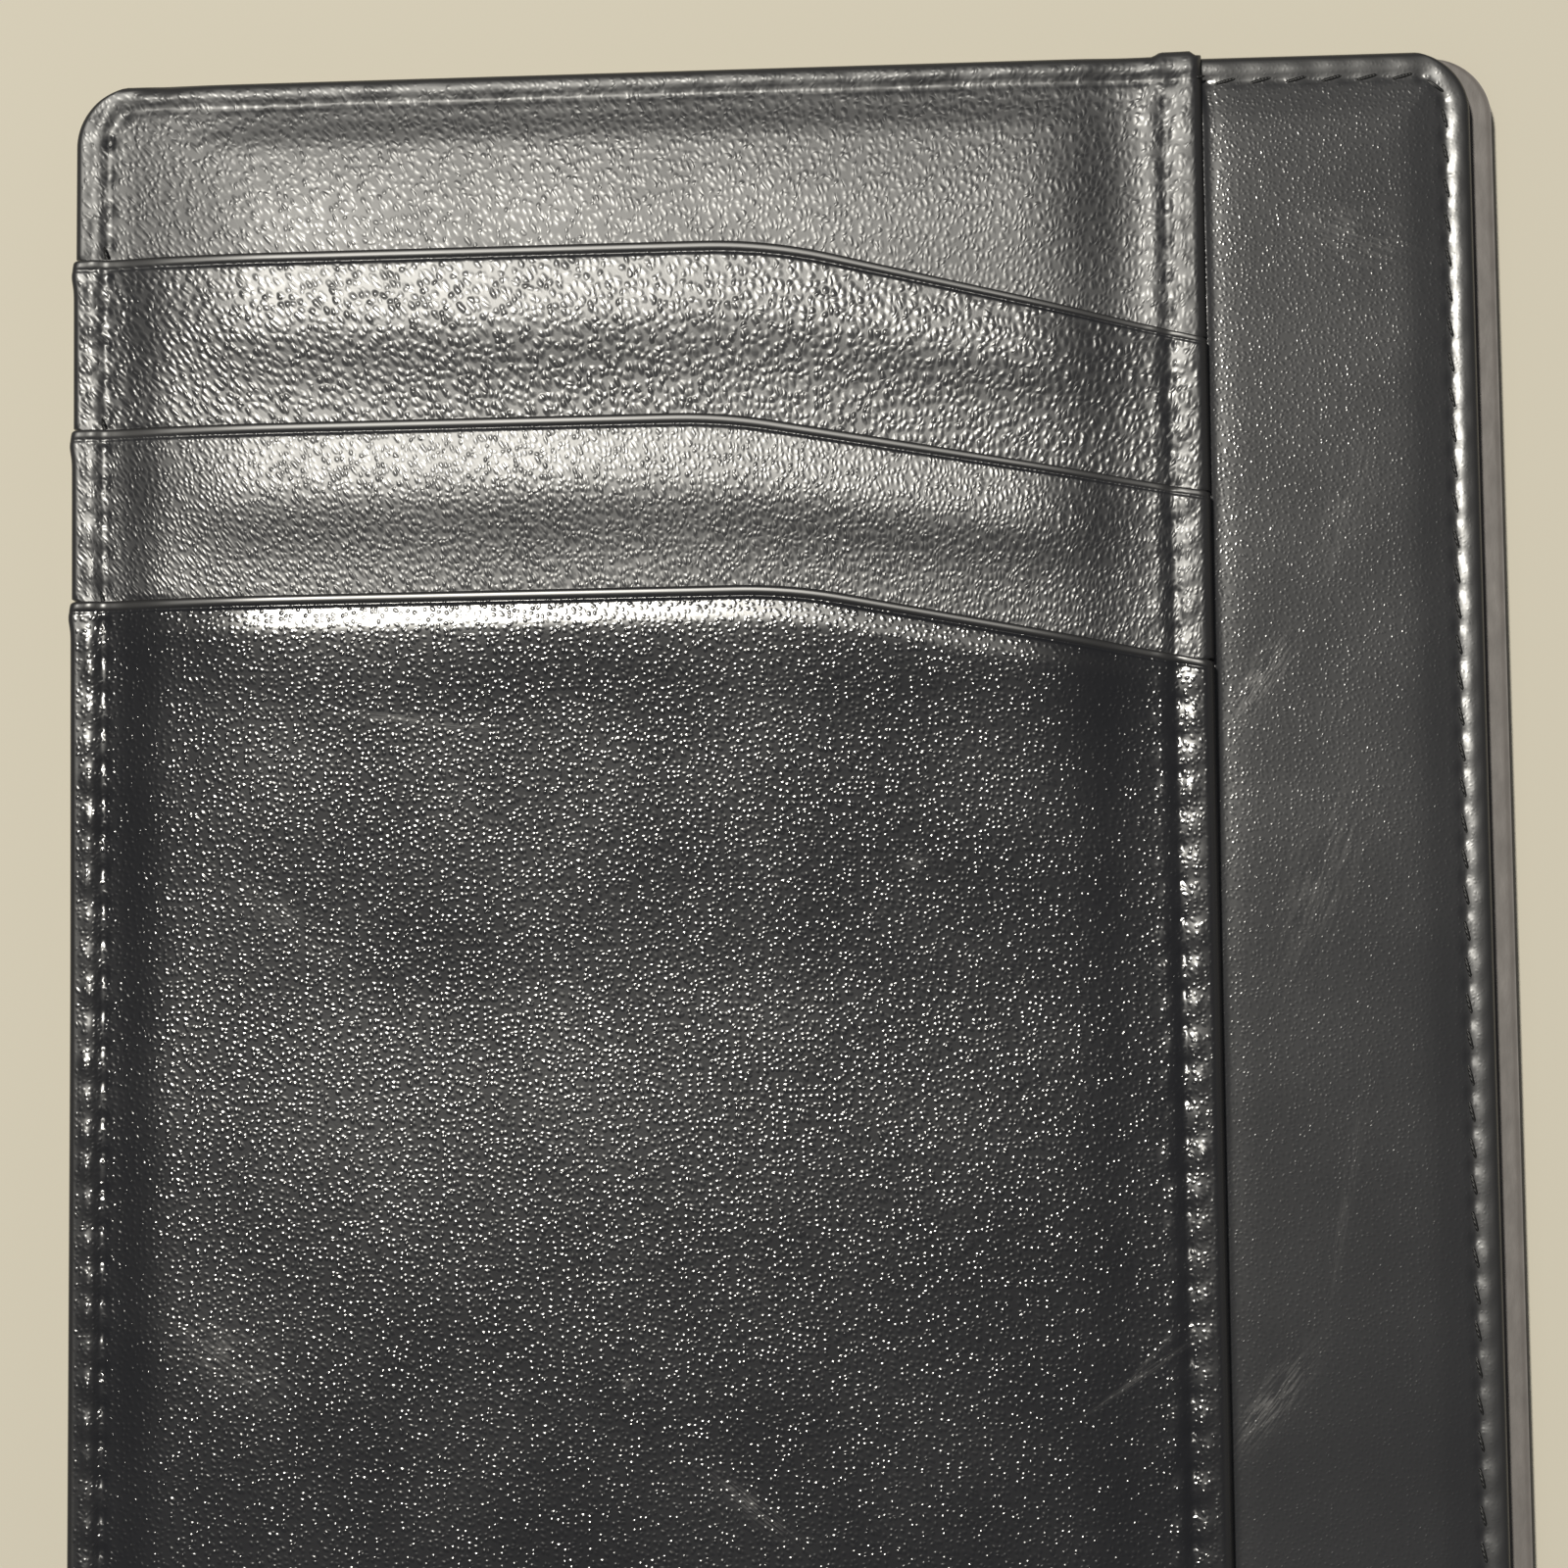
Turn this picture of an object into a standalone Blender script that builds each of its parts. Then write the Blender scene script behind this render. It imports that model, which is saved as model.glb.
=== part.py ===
"""A slim leather card holder, lying on its back.

Two flat halves are sewn together along the left, top and bottom edges. The centre pocket between them is
open along the right-hand long edge. The front half carries three card pockets, stepped like roof tiles, and
a plain strip beside them. Each pocket piece is a sheet of leather that starts high at its mouth and slopes
down to its tail, which lies on the cloth lining behind it.

+X is to the right, +Y is towards the pocket mouths and +Z is up, out of the front face. The origin is at the
middle of the footprint, on the surface that the card holder lies on. Sizes are in metres.
"""

import math

import bmesh
import bpy

MM = 0.001

# Overall sizes
HEIGHT = 110.0 * MM
POCKET_WIDTH = 63.0 * MM  # from the left edge to the right-hand edge of the pocket pieces
STRIP_WIDTH = 14.7 * MM  # the plain leather beside them
REAR_OVERHANG = 1.3 * MM  # how far the rear half stands out past the front half at its open edge
CORNER_RADIUS = 3.4 * MM
CORNER_STEPS = 6

# Sheet thicknesses
SHELL_LEATHER = 0.75 * MM
POCKET_LEATHER = 0.5 * MM
STIFFENER = 0.4 * MM
LINING = 0.15 * MM
THREAD_RADIUS = 0.15 * MM

# Clearances
GLUE_LINE = 0.1 * MM  # between two sheets that are glued or sewn flat on each other
CENTRE_POCKET_GAP = 0.3 * MM
CARD_SLOT_GAP = 0.15 * MM
LINING_INSET = 0.4 * MM  # cloth and stiffener stop short of the painted leather edge
LEATHER_EDGE_ROUND = 0.12 * MM
LEATHER_EDGE_STEPS = 2
BEVEL_ANGLE = math.radians(50)  # only corners sharper than this are rounded

# Pocket mouths, from the upper to the front one: depth below the top edge, how far from the pocket's right-hand
# edge the line starts to turn down, and the angle that it turns to
FIRST_MOUTH_DEPTH = 10.0 * MM
MOUTH_PITCH = 9.65 * MM
MOUTHS = (
    {"turn_from_right": 27.8 * MM, "angle": math.radians(14.0)},
    {"turn_from_right": 29.4 * MM, "angle": math.radians(10.5)},
    {"turn_from_right": 26.0 * MM, "angle": math.radians(11.3)},
)
MOUTH_TURN_RADIUS = 30.0 * MM
MOUTH_TURN_STEPS = 8
TAIL_BELOW_MOUTH = 3.0 * MM  # how far a pocket piece runs on below the lowest point of the next mouth
LINING_TUCK = 2.5 * MM  # how far a lining reaches up under the tail that it is glued to
CARD_LENGTH = 85.6 * MM
CARD_ABOVE_MOUTH = 7.5 * MM
LINING_BELOW_CARD = 3.0 * MM

# Seams
LEFT_SEAM = 1.9 * MM
TOP_SEAM = 1.4 * MM
RIGHT_SEAM = 1.4 * MM
BOTTOM_SEAM = 1.9 * MM
POCKET_SEAM = 2.1 * MM  # from the pockets' right-hand edge
SEAM_CORNER_RADIUS = 1.8 * MM
SEAM_END_GAP = 1.0 * MM  # the pocket seam stops this far short of the seam around the edge
THREAD_STEP_REACH = 0.25 * MM  # where the thread climbs a leather edge, it is this far outside it at the top
THREAD_STEP_RUN = 0.9 * MM
THREAD_SIDES = 2  # bevel resolution: gives an eight-sided thread
GROOVE_WIDTH = 0.8 * MM
GROOVE_DEPTH = 0.5 * MM

# Worked out from the sizes above
FRONT_WIDTH = POCKET_WIDTH + STRIP_WIDTH
REAR_WIDTH = FRONT_WIDTH + REAR_OVERHANG
LEFT = -REAR_WIDTH / 2
FRONT_RIGHT = LEFT + FRONT_WIDTH
REAR_RIGHT = LEFT + REAR_WIDTH
POCKET_RIGHT = LEFT + POCKET_WIDTH
TOP = HEIGHT / 2
BOTTOM = -HEIGHT / 2
LAYER = LINING + GLUE_LINE
FRONT_ROW = len(MOUTHS) - 1  # the front pocket is the last row

REAR_STIFFENER_Z = SHELL_LEATHER + GLUE_LINE
REAR_LINING_Z = REAR_STIFFENER_Z + STIFFENER + GLUE_LINE
REAR_TOP_Z = REAR_LINING_Z + LINING
FRONT_LINING_Z = REAR_TOP_Z + CENTRE_POCKET_GAP
FRONT_STIFFENER_Z = FRONT_LINING_Z + LAYER
FRONT_LEATHER_Z = FRONT_STIFFENER_Z + STIFFENER + GLUE_LINE
STRIP_Z = FRONT_LEATHER_Z + SHELL_LEATHER  # the bare face of the strip
POCKET_LINING_Z = [STRIP_Z + GLUE_LINE + row * LAYER for row in range(len(MOUTHS))]
TAIL_Z = [z + LAYER for z in POCKET_LINING_Z]  # underside of each tail, on top of its lining

HINGE = (LEFT, 0.0, (REAR_TOP_Z + FRONT_LINING_Z) / 2)


def mouth_y(row):
    """Height of the flat left-hand part of a pocket mouth; row 0 is the upper pocket."""
    return TOP - FIRST_MOUTH_DEPTH - row * MOUTH_PITCH


def mouth_drop(row, x):
    """How far the mouth line has dropped at x: level, then an arc, then straight along the arc's last direction."""
    mouth = MOUTHS[row]
    run = x - (POCKET_RIGHT - mouth["turn_from_right"])
    arc_run = MOUTH_TURN_RADIUS * math.sin(mouth["angle"])
    if run <= 0:
        return 0.0
    if run <= arc_run:
        return MOUTH_TURN_RADIUS - math.sqrt(MOUTH_TURN_RADIUS**2 - run**2)
    arc_drop = MOUTH_TURN_RADIUS * (1 - math.cos(mouth["angle"]))
    return arc_drop + (run - arc_run) * math.tan(mouth["angle"])


def mouth_line(row):
    """The mouth's points from left to right."""
    mouth = MOUTHS[row]
    turn = POCKET_RIGHT - mouth["turn_from_right"]
    arc = [
        turn + MOUTH_TURN_RADIUS * math.sin(mouth["angle"] * step / MOUTH_TURN_STEPS)
        for step in range(MOUTH_TURN_STEPS + 1)
    ]
    return [(x, mouth_y(row) - mouth_drop(row, x)) for x in [LEFT, *arc, POCKET_RIGHT]]


def tail_y(row):
    """The lower end of the piece above mouth row, which runs on behind the next pocket; row 0 is the top band."""
    return mouth_y(row) - mouth_drop(row, POCKET_RIGHT) - TAIL_BELOW_MOUTH


# The slope that carries each pocket piece clear over the end of the piece above it
SLOPE_RISE = POCKET_LEATHER + CARD_SLOT_GAP - LAYER
POCKET_SLOPE = max(SLOPE_RISE / (tail_y(row) - tail_y(row + 1)) for row in range(len(MOUTHS) - 1))
FRONT_POCKET_RISE = POCKET_LEATHER + CARD_SLOT_GAP
FLAT_BELOW_Y = tail_y(FRONT_ROW) - FRONT_POCKET_RISE / POCKET_SLOPE  # the front pocket lies flat below this line


def slope_lift(row, y):
    """How far a pocket piece has risen above its tail at y; row 0 is the upper pocket."""
    start = FLAT_BELOW_Y if row == FRONT_ROW else tail_y(row + 1)
    return max(0.0, y - start) * POCKET_SLOPE


def pocket_base_z(row):
    """Underside of a pocket piece at its tail, or of the front pocket where it lies flat."""
    return TAIL_Z[min(row + 1, FRONT_ROW)]


def arc_points(centre_x, centre_y, radius, start, end, steps=CORNER_STEPS):
    """Points on an arc; the angles are in degrees."""
    points = []
    for step in range(steps + 1):
        angle = math.radians(start + (end - start) * step / steps)
        points.append((centre_x + radius * math.cos(angle), centre_y + radius * math.sin(angle)))
    return points


def rounded_rectangle(left, right, bottom, top, radius):
    """Anticlockwise outline, starting at the upper end of the lower right corner."""
    return (
        arc_points(right - radius, top - radius, radius, 0, 90)
        + arc_points(left + radius, top - radius, radius, 90, 180)
        + arc_points(left + radius, bottom + radius, radius, 180, 270)
        + arc_points(right - radius, bottom + radius, radius, 270, 360)
    )


def half_outline(right, inset=0.0):
    """The outline of one half of the card holder, pulled in on every side by inset."""
    return rounded_rectangle(
        LEFT + inset, right - inset, BOTTOM + inset, TOP - inset, CORNER_RADIUS - inset
    )


def material(name, colour, roughness):
    made = bpy.data.materials.new(name)
    made.use_nodes = True
    shader = made.node_tree.nodes["Principled BSDF"]
    shader.inputs["Base Color"].default_value = (*colour, 1.0)
    shader.inputs["Roughness"].default_value = roughness
    shader.inputs["Metallic"].default_value = 0.0
    return made


def place(name, data, finish, z, pivot=None):
    """Put an object's own zero level at height z; a moving piece hangs from the pivot."""
    data.materials.append(finish)
    piece = bpy.data.objects.new(name, data)
    bpy.context.scene.collection.objects.link(piece)
    piece.location = (0.0, 0.0, z)
    if pivot is not None:
        piece.parent = pivot
        piece.location = (-HINGE[0], -HINGE[1], z - HINGE[2])
    return piece


def sheet_mesh(name, outline, thickness, bend_y=None, lift=None):
    """A flat sheet cut to an outline, with a straight bend across it where it changes slope."""
    bm = bmesh.new()
    bm.faces.new([bm.verts.new((x, y, 0.0)) for x, y in outline])
    if bend_y is not None:
        bmesh.ops.bisect_plane(
            bm, geom=bm.verts[:] + bm.edges[:] + bm.faces[:], plane_co=(0, bend_y, 0), plane_no=(0, 1, 0)
        )
    raised = bmesh.ops.extrude_face_region(bm, geom=bm.faces[:])["geom"]
    upper = [part for part in raised if isinstance(part, bmesh.types.BMVert)]
    bmesh.ops.translate(bm, verts=upper, vec=(0.0, 0.0, thickness))
    for vert in bm.verts:
        vert.co.z += lift(vert.co.y) if lift else 0.0
    bmesh.ops.recalc_face_normals(bm, faces=bm.faces[:])
    mesh = bpy.data.meshes.new(name)
    bm.to_mesh(mesh)
    bm.free()
    return mesh


def round_edges(piece):
    """The rounded, painted edge of a cut piece of leather."""
    bevel = piece.modifiers.new("rounded_edge", "BEVEL")
    bevel.width = LEATHER_EDGE_ROUND
    bevel.segments = LEATHER_EDGE_STEPS
    bevel.limit_method = "ANGLE"
    bevel.angle_limit = BEVEL_ANGLE
    return piece


def groove_cutter(name, right):
    """A hidden ring that cuts the channel for the seam into the underside of the rear leather."""
    outer = seam_corners(right, GROOVE_WIDTH / 2)
    inner = seam_corners(right, -GROOVE_WIDTH / 2)
    bm = bmesh.new()
    edges = []
    for loop in (outer, inner):
        verts = [bm.verts.new((x, y, -GROOVE_DEPTH)) for x, y in loop]
        edges += [bm.edges.new((vert, verts[index - 1])) for index, vert in enumerate(verts)]
    bmesh.ops.bridge_loops(bm, edges=edges)
    raised = bmesh.ops.extrude_face_region(bm, geom=bm.faces[:])["geom"]
    upper = [part for part in raised if isinstance(part, bmesh.types.BMVert)]
    bmesh.ops.translate(bm, verts=upper, vec=(0.0, 0.0, 2 * GROOVE_DEPTH))
    bmesh.ops.recalc_face_normals(bm, faces=bm.faces[:])
    mesh = bpy.data.meshes.new(name)
    bm.to_mesh(mesh)
    bm.free()
    cutter = bpy.data.objects.new(name, mesh)
    bpy.context.scene.collection.objects.link(cutter)
    cutter.hide_render = True
    cutter.display_type = "WIRE"
    return cutter


def seam_corners(right, outwards=0.0):
    """The rounded path of the seam around a half, moved outwards by a distance."""
    return rounded_rectangle(
        LEFT + LEFT_SEAM - outwards,
        right - RIGHT_SEAM + outwards,
        BOTTOM + BOTTOM_SEAM - outwards,
        TOP - TOP_SEAM + outwards,
        SEAM_CORNER_RADIUS + outwards,
    )


def front_surface_z(x, y):
    """Height of the front half's face, with each pocket edge pushed out by the reach of the thread."""
    if x > POCKET_RIGHT + THREAD_STEP_REACH:
        return STRIP_Z
    level = TAIL_Z[0] + POCKET_LEATHER
    for row in range(len(MOUTHS)):
        if y <= mouth_y(row) - mouth_drop(row, x) + THREAD_STEP_REACH:
            level = pocket_base_z(row) + slope_lift(row, y) + POCKET_LEATHER
    return level


def seam_steps(x):
    """Heights down a seam at x where the thread has a corner: both ends of each climb, and the last bend."""
    steps = []
    for row in range(len(MOUTHS)):
        top_of_climb = mouth_y(row) - mouth_drop(row, x) + THREAD_STEP_REACH
        steps += [top_of_climb + THREAD_STEP_RUN, top_of_climb]
    return [*steps, FLAT_BELOW_Y]


def thread(name, path, finish, closed, pivot=None):
    """A continuous thread through points that give its middle."""
    curve = bpy.data.curves.new(name, "CURVE")
    curve.dimensions = "3D"
    curve.twist_mode = "Z_UP"
    curve.bevel_depth = THREAD_RADIUS
    curve.bevel_resolution = THREAD_SIDES
    curve.use_fill_caps = not closed
    spline = curve.splines.new("POLY")
    spline.points.add(len(path) - 1)
    for point, (x, y, z) in zip(spline.points, path):
        point.co = (x, y, z, 1.0)
    spline.use_cyclic_u = closed
    return place(name, curve, finish, 0.0, pivot)


def front_seam_path():
    """Around the front half, climbing onto the pocket pieces and down to the strip again."""
    corners = seam_corners(FRONT_RIGHT)
    count = CORNER_STEPS + 1
    top_right, top_left, bottom_left, bottom_right = [corners[n * count : (n + 1) * count] for n in range(4)]
    climb = [POCKET_RIGHT + THREAD_STEP_REACH + THREAD_STEP_RUN, POCKET_RIGHT + THREAD_STEP_REACH]
    left_x = LEFT + LEFT_SEAM
    flat = (
        top_right
        + [(x, TOP - TOP_SEAM) for x in climb]
        + top_left
        + [(left_x, y) for y in seam_steps(left_x)]
        + bottom_left
        + [(x, BOTTOM + BOTTOM_SEAM) for x in reversed(climb)]
        + bottom_right
    )
    return [(x, y, thread_z(x, y)) for x, y in flat]


def pocket_seam_path():
    """Down the pockets' right-hand side."""
    x = POCKET_RIGHT - POCKET_SEAM
    start = TOP - TOP_SEAM - SEAM_END_GAP
    end = BOTTOM + BOTTOM_SEAM + SEAM_END_GAP
    return [(x, y, thread_z(x, y)) for y in [start, *seam_steps(x), end]]


def thread_z(x, y):
    return front_surface_z(x, y) + GLUE_LINE + THREAD_RADIUS


def build_rear_half(finishes):
    leather_mesh = sheet_mesh("rear_leather", half_outline(REAR_RIGHT), SHELL_LEATHER)
    leather = round_edges(place("rear_leather", leather_mesh, finishes["leather"], 0.0))
    groove = leather.modifiers.new("seam_groove", "BOOLEAN")
    groove.operation = "DIFFERENCE"
    groove.solver = "EXACT"
    groove.object = groove_cutter("seam_groove_cutter", REAR_RIGHT)
    inner = half_outline(REAR_RIGHT, LINING_INSET)
    stiffener = sheet_mesh("rear_stiffener", inner, STIFFENER)
    place("rear_stiffener", stiffener, finishes["board"], REAR_STIFFENER_Z)
    lining = sheet_mesh("rear_lining", inner, LINING)
    place("rear_lining", lining, finishes["cloth"], REAR_LINING_Z)
    depth = GROOVE_DEPTH - GLUE_LINE - THREAD_RADIUS
    path = [(x, y, depth) for x, y in seam_corners(REAR_RIGHT)]
    thread("rear_seam_thread", path, finishes["thread"], closed=True)


def build_front_panel(finishes, pivot):
    inner = half_outline(FRONT_RIGHT, LINING_INSET)
    lining = sheet_mesh("front_lining", inner, LINING)
    place("front_lining", lining, finishes["cloth"], FRONT_LINING_Z, pivot)
    stiffener = sheet_mesh("front_stiffener", inner, STIFFENER)
    place("front_stiffener", stiffener, finishes["board"], FRONT_STIFFENER_Z, pivot)
    leather = sheet_mesh("front_leather", half_outline(FRONT_RIGHT), SHELL_LEATHER)
    round_edges(place("front_leather", leather, finishes["leather"], FRONT_LEATHER_Z, pivot))


def build_pocket_linings(finishes, pivot):
    """Cloth behind each card; each one ends just below the foot of its own card."""
    tops = [TOP - LINING_INSET] + [tail_y(row) + LINING_TUCK for row in range(1, len(MOUTHS))]
    left = LEFT + LINING_INSET
    right = POCKET_RIGHT - LINING_INSET
    radius = CORNER_RADIUS - LINING_INSET
    for row, name in enumerate(("upper_pocket_lining", "middle_pocket_lining", "lower_pocket_lining")):
        card_foot = mouth_y(row) + CARD_ABOVE_MOUTH - CARD_LENGTH
        bottom = max(card_foot - LINING_BELOW_CARD, BOTTOM + LINING_INSET)
        upper_left = [(left, tops[row])]
        if row == 0:
            upper_left = arc_points(left + radius, tops[row] - radius, radius, 90, 180)
        lower_left = arc_points(left + radius, bottom + radius, radius, 180, 270)
        outline = [(right, tops[row]), *upper_left, *lower_left, (right, bottom)]
        place(name, sheet_mesh(name, outline, LINING), finishes["cloth"], POCKET_LINING_Z[row], pivot)


def build_top_band(finishes, pivot):
    radius = CORNER_RADIUS
    corner = arc_points(LEFT + radius, TOP - radius, radius, 90, 180)
    outline = [(POCKET_RIGHT, TOP), *corner, (LEFT, tail_y(0)), (POCKET_RIGHT, tail_y(0))]
    mesh = sheet_mesh("top_band", outline, POCKET_LEATHER)
    round_edges(place("top_band", mesh, finishes["leather"], TAIL_Z[0], pivot))


def build_pockets(finishes, pivot):
    for row, name in enumerate(("upper_pocket", "middle_pocket", "front_pocket")):
        mouth = list(reversed(mouth_line(row)))
        if row == FRONT_ROW:
            corner = arc_points(LEFT + CORNER_RADIUS, BOTTOM + CORNER_RADIUS, CORNER_RADIUS, 180, 270)
            outline = [*mouth, *corner, (POCKET_RIGHT, BOTTOM)]
            bend = FLAT_BELOW_Y
        else:
            outline = [*mouth, (LEFT, tail_y(row + 1)), (POCKET_RIGHT, tail_y(row + 1))]
            bend = None
        mesh = sheet_mesh(name, outline, POCKET_LEATHER, bend, lambda y, row=row: slope_lift(row, y))
        round_edges(place(name, mesh, finishes["leather"], pocket_base_z(row), pivot))


def build_card_holder():
    for old in list(bpy.data.objects):
        bpy.data.objects.remove(old, do_unlink=True)
    finishes = {
        "leather": material("black_leather", (0.022, 0.022, 0.024), 0.34),
        "cloth": material("black_lining_cloth", (0.030, 0.029, 0.029), 0.85),
        "board": material("grey_stiffener_board", (0.16, 0.15, 0.14), 0.9),
        "thread": material("black_thread", (0.018, 0.018, 0.018), 0.6),
    }
    pivot = bpy.data.objects.new("front_half_pivot", None)
    bpy.context.scene.collection.objects.link(pivot)
    pivot.location = HINGE
    build_rear_half(finishes)
    build_front_panel(finishes, pivot)
    build_pocket_linings(finishes, pivot)
    build_top_band(finishes, pivot)
    build_pockets(finishes, pivot)
    thread("front_seam_thread", front_seam_path(), finishes["thread"], closed=True, pivot=pivot)
    thread("pocket_seam_thread", pocket_seam_path(), finishes["thread"], closed=False, pivot=pivot)


build_card_holder()
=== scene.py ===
# %% [markdown]
# # A slim leather card holder
#
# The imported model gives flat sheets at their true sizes. Here each leather sheet becomes a fine mesh
# that is pulled down at its seams, puckered at every stitch and rolled at its edges, because on glossy
# black leather the eye sees only highlights, and highlights come from shape.

# %% Load the frame
import math

import bmesh
import bpy
import numpy as np
from mathutils import Matrix, Vector
from mathutils.bvhtree import BVHTree


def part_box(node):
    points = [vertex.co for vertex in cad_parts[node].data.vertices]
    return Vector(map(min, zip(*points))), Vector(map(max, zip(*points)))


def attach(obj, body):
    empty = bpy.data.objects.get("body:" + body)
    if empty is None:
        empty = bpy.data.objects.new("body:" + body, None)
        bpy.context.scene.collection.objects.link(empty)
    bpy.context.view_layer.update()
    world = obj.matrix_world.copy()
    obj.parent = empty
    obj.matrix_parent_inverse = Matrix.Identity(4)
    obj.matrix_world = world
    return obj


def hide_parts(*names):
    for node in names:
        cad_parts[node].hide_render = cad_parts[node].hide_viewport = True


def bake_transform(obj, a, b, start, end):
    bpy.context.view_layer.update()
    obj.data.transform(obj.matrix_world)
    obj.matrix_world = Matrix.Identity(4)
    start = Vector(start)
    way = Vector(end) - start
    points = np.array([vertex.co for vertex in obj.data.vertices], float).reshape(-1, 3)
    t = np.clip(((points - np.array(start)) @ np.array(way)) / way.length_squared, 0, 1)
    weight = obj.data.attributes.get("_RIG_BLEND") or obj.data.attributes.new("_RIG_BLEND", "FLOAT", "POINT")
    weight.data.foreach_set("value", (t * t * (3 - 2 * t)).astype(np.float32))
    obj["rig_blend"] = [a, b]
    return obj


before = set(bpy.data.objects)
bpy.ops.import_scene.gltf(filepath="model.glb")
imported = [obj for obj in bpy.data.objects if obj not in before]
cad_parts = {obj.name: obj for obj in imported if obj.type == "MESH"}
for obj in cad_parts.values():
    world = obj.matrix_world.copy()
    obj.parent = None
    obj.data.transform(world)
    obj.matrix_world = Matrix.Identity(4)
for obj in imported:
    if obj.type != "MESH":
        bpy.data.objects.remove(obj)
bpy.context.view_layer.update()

MM = 0.001

# %% [markdown]
# ## Places, read from the frame
#
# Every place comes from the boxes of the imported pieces, so the looks follow the design. A pocket mouth
# runs level, turns on an arc and goes on straight; only that arc has to be repeated here, because a box
# has no curves.

# %% Edges and levels
front_low, front_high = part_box("front_leather")
LEFT = front_low.x
FRONT_RIGHT = front_high.x
REAR_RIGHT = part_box("rear_leather")[1].x
TOP = front_high.y
BOTTOM = front_low.y
POCKET_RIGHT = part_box("front_pocket")[1].x
STRIP_Z = front_high.z
REAR_TOP_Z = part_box("rear_lining")[1].z
FRONT_UNDER_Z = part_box("front_lining")[0].z
CORNER = 3.4 * MM

POCKETS = ("upper_pocket", "middle_pocket", "front_pocket")
BAND_TOP_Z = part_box("top_band")[1].z
SHEET = BAND_TOP_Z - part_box("top_band")[0].z
MOUTH_Y = [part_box(name)[1].y for name in POCKETS]
TAIL_Y = [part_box("top_band")[0].y] + [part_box(name)[0].y for name in POCKETS[:2]]
BASE_Z = [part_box(name)[0].z for name in POCKETS]
MOUTH_Z = [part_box(name)[1].z - SHEET for name in POCKETS]
SLOPE = (MOUTH_Z[1] - BASE_Z[1]) / (MOUTH_Y[1] - TAIL_Y[2])
FLAT_BELOW_Y = MOUTH_Y[2] - (MOUTH_Z[2] - BASE_Z[2]) / SLOPE
RISE_FROM_Y = [TAIL_Y[1], TAIL_Y[2], FLAT_BELOW_Y]
print("the pocket mouths are at y =", [round(1000 * y, 2) for y in MOUTH_Y], "mm")
print("each pocket rises towards its mouth by", round(math.degrees(math.atan(SLOPE)), 2), "degrees")

# %% The line of a pocket mouth
TURN_FROM_RIGHT = [27.8 * MM, 29.4 * MM, 26.0 * MM]
TURN_ANGLE = [math.radians(14.0), math.radians(10.5), math.radians(11.3)]
TURN_RADIUS = 30.0 * MM


def mouth_drop(row, x):
    """How far the mouth has dropped at x, for an array of x."""
    run = np.maximum(0.0, x - (POCKET_RIGHT - TURN_FROM_RIGHT[row]))
    arc_run = TURN_RADIUS * math.sin(TURN_ANGLE[row])
    on_arc = np.minimum(run, arc_run)
    arc_drop = TURN_RADIUS - np.sqrt(TURN_RADIUS**2 - on_arc**2)
    return arc_drop + (run - on_arc) * math.tan(TURN_ANGLE[row])


# %% [markdown]
# ## Seams
#
# A seam is a row of holes at an even pitch. Between two holes the thread lies on the leather and
# presses it down, and at each hole it pulls the leather in. Walking along the seam's path gives both:
# the holes and, half-way between them, the stitches.

# %% Paths of the seams
STITCH_PITCH = 1.95 * MM
LEFT_SEAM = 1.9 * MM
TOP_SEAM = 1.4 * MM
SIDE_SEAM = 1.4 * MM
BOTTOM_SEAM = 1.9 * MM
POCKET_SEAM = 2.1 * MM
SEAM_CORNER = 1.8 * MM


def arc(centre_x, centre_y, radius, start, end, steps=8):
    """Points on an arc; the angles are in degrees."""
    angles = np.radians(np.linspace(start, end, steps + 1))
    return [(centre_x + radius * math.cos(a), centre_y + radius * math.sin(a)) for a in angles]


def edge_seam(right):
    """The closed path of the stitches around one half, clockwise from the top left corner."""
    left, side = LEFT + LEFT_SEAM, right - SIDE_SEAM
    top, bottom = TOP - TOP_SEAM, BOTTOM + BOTTOM_SEAM
    r = SEAM_CORNER
    path = arc(left + r, top - r, r, 180, 90) + arc(side - r, top - r, r, 90, 0)
    path += arc(side - r, bottom + r, r, 0, -90) + arc(left + r, bottom + r, r, 270, 180)
    return path + path[:1]


def places_at(points, along, at):
    """The places on a path at some lengths from its start."""
    return np.stack([np.interp(at, along, points[:, k]) for k in (0, 1)], axis=1)


def walk(path, pitch):
    """Points along a path, each with its direction; the pitch is eased to fit a whole number."""
    points = np.array(path)
    lengths = np.linalg.norm(np.diff(points, axis=0), axis=1)
    along = np.concatenate([[0.0], np.cumsum(lengths)])
    count = round(along[-1] / pitch)
    at = np.linspace(0.0, along[-1], count + 1)
    ahead = places_at(points, along, np.minimum(at + 0.1 * MM, along[-1]))
    back = places_at(points, along, np.maximum(at - 0.1 * MM, 0.0))
    way = ahead - back
    return places_at(points, along, at), way / np.linalg.norm(way, axis=1)[:, None]


def seam(path, pitch=STITCH_PITCH):
    """Holes at every second point of a half-pitch walk, stitches at the points between."""
    total = sum(math.dist(a, b) for a, b in zip(path, path[1:]))
    count = 2 * round(total / pitch)
    spots, ways = walk(path, total / count)
    return {"holes": spots[::2], "stitches": spots[1::2], "ways": ways[1::2]}


front_seam = seam(edge_seam(FRONT_RIGHT))
rear_seam = seam(edge_seam(REAR_RIGHT))
seam_x = POCKET_RIGHT - POCKET_SEAM
SEAM_GAP = 1.2 * MM  # between the ends of the pocket seam and the seam around the edge
pocket_seam = seam([(seam_x, TOP - TOP_SEAM - SEAM_GAP), (seam_x, BOTTOM + BOTTOM_SEAM + SEAM_GAP)])
for where, line in (("front", front_seam), ("rear", rear_seam), ("pocket", pocket_seam)):
    print("the", where, "seam has", len(line["stitches"]), "stitches")

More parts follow.
